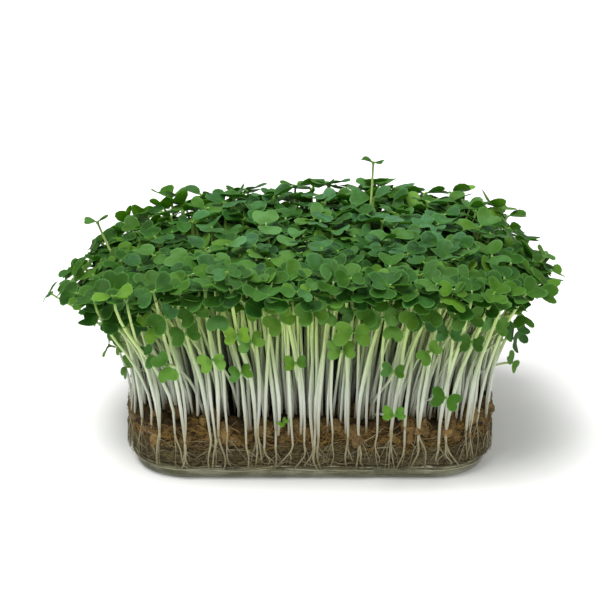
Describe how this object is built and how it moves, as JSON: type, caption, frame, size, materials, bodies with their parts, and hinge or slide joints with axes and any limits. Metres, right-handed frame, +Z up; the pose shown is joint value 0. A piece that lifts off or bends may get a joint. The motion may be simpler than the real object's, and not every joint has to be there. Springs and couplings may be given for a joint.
{
  "type": "microgreens tray",
  "caption": "Block of leafy microgreens on a root-bound fibre mat, standing in a low clear tray; a filled retail punnet of salad cress to set on a shelf or table.",
  "frame": {"origin": "middle of the tray's underside, on the surface that the tray stands on", "axes": "+X along the tray's long side, +Y from the front to the back, +Z up"},
  "size_m": [0.192, 0.1182, 0.095],
  "materials": {
    "tray": "clear thermoformed plastic",
    "root_felt": "matted pale roots",
    "growing_mat": "damp brown plant fibre with seed husks and pale roots",
    "sprouts": "waxy green seed leaves on stems that turn white towards the root"
  },
  "bodies": {
    "root": {"tray": "tray", "root_felt": "root_felt", "growing_mat": "growing_mat", "sprouts_column_1_row_1": "sprouts", "sprouts_column_1_row_2": "sprouts", "sprouts_column_1_row_3": "sprouts", "sprouts_column_1_row_4": "sprouts", "sprouts_column_2_row_1": "sprouts", "sprouts_column_2_row_2": "sprouts", "sprouts_column_2_row_3": "sprouts", "sprouts_column_2_row_4": "sprouts", "sprouts_column_3_row_1": "sprouts", "sprouts_column_3_row_2": "sprouts", "sprouts_column_3_row_3": "sprouts", "sprouts_column_3_row_4": "sprouts", "sprouts_column_4_row_1": "sprouts", "sprouts_column_4_row_2": "sprouts", "sprouts_column_4_row_3": "sprouts", "sprouts_column_4_row_4": "sprouts", "sprouts_column_5_row_1": "sprouts", "sprouts_column_5_row_2": "sprouts", "sprouts_column_5_row_3": "sprouts", "sprouts_column_5_row_4": "sprouts", "sprouts_column_6_row_1": "sprouts", "sprouts_column_6_row_2": "sprouts", "sprouts_column_6_row_3": "sprouts", "sprouts_column_6_row_4": "sprouts", "sprouts_column_7_row_1": "sprouts", "sprouts_column_7_row_2": "sprouts", "sprouts_column_7_row_3": "sprouts", "sprouts_column_7_row_4": "sprouts", "sprouts_column_8_row_1": "sprouts", "sprouts_column_8_row_2": "sprouts", "sprouts_column_8_row_3": "sprouts", "sprouts_column_8_row_4": "sprouts"}
  },
  "joints": []
}
